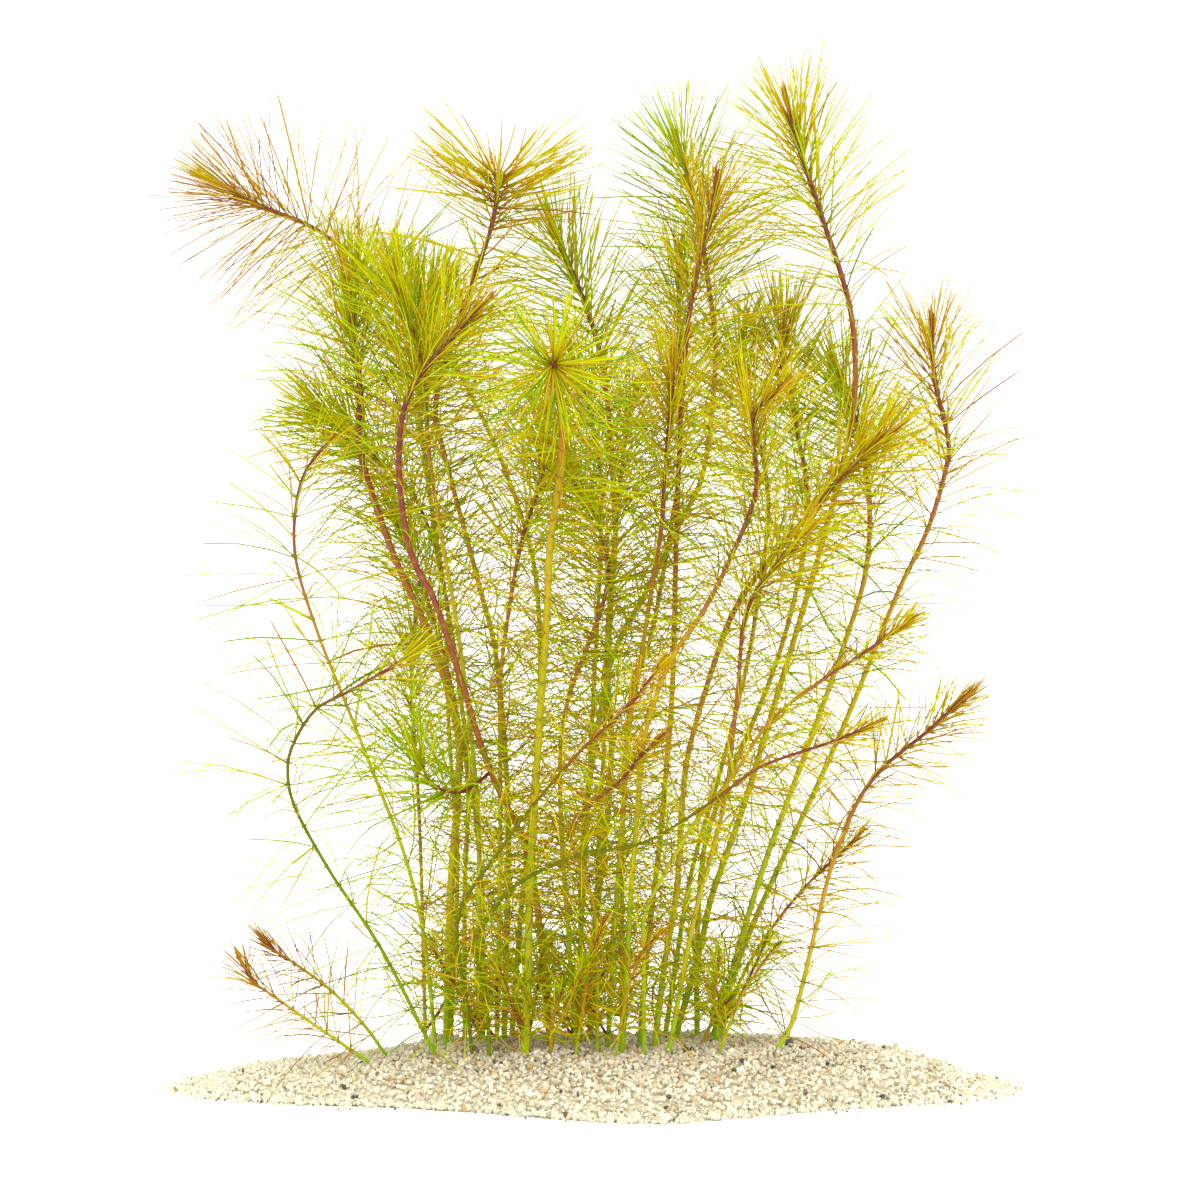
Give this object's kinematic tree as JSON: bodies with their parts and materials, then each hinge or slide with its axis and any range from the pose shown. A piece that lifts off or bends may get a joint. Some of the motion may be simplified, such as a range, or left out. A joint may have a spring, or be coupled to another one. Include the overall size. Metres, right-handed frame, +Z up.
{
  "type": "vietnam rotala",
  "caption": "Free-standing clump of fine-leaved aquarium stem plant, tall green to red stems ringed with needle whorls, rooted in a low mound of pale gravel.",
  "frame": {"origin": "centre of the gravel mound's flat underside", "axes": "+Z up along the stems, +X to the right and +Y to the back as the picture shows the clump, so the pictured side faces -Y"},
  "size_m": [0.2399, 0.1437, 0.2923],
  "materials": {
    "gravel": "matt pale cream, grey and tan aquarium gravel with dark specks",
    "green_plant": "soft, slightly waxy yellow-green stems and needle leaves",
    "golden_plant": "soft, slightly waxy olive-gold stems and needle leaves",
    "red_plant": "soft, slightly waxy red-brown stems and rusty olive needle leaves"
  },
  "bodies": {
    "root": {"gravel_bed": "gravel", "stem_01": "golden_plant", "stem_02": "green_plant", "stem_03": "golden_plant", "stem_04": "red_plant", "stem_05": "green_plant", "stem_06": "golden_plant", "stem_07": "red_plant", "stem_08": "green_plant", "stem_09": "golden_plant", "stem_10": "green_plant", "stem_11": "golden_plant", "stem_12": "golden_plant", "stem_13": "green_plant", "stem_14": "green_plant", "stem_15": "golden_plant", "stem_16": "green_plant", "stem_17": "golden_plant", "stem_18": "red_plant", "stem_19": "golden_plant", "stem_20": "golden_plant", "stem_21": "golden_plant", "stem_22": "red_plant", "stem_23": "golden_plant", "stem_24": "green_plant", "stem_25": "green_plant", "stem_26": "red_plant", "stem_27": "red_plant", "stem_28": "red_plant", "stem_29": "red_plant", "stem_30": "green_plant", "stem_31": "golden_plant", "stem_32": "red_plant", "stem_33": "green_plant", "stem_34": "green_plant", "stem_35": "red_plant", "stem_36": "red_plant", "stem_37": "green_plant", "shoot_01": "golden_plant", "shoot_02": "red_plant", "shoot_03": "green_plant", "shoot_04": "green_plant", "shoot_05": "green_plant"}
  },
  "joints": []
}
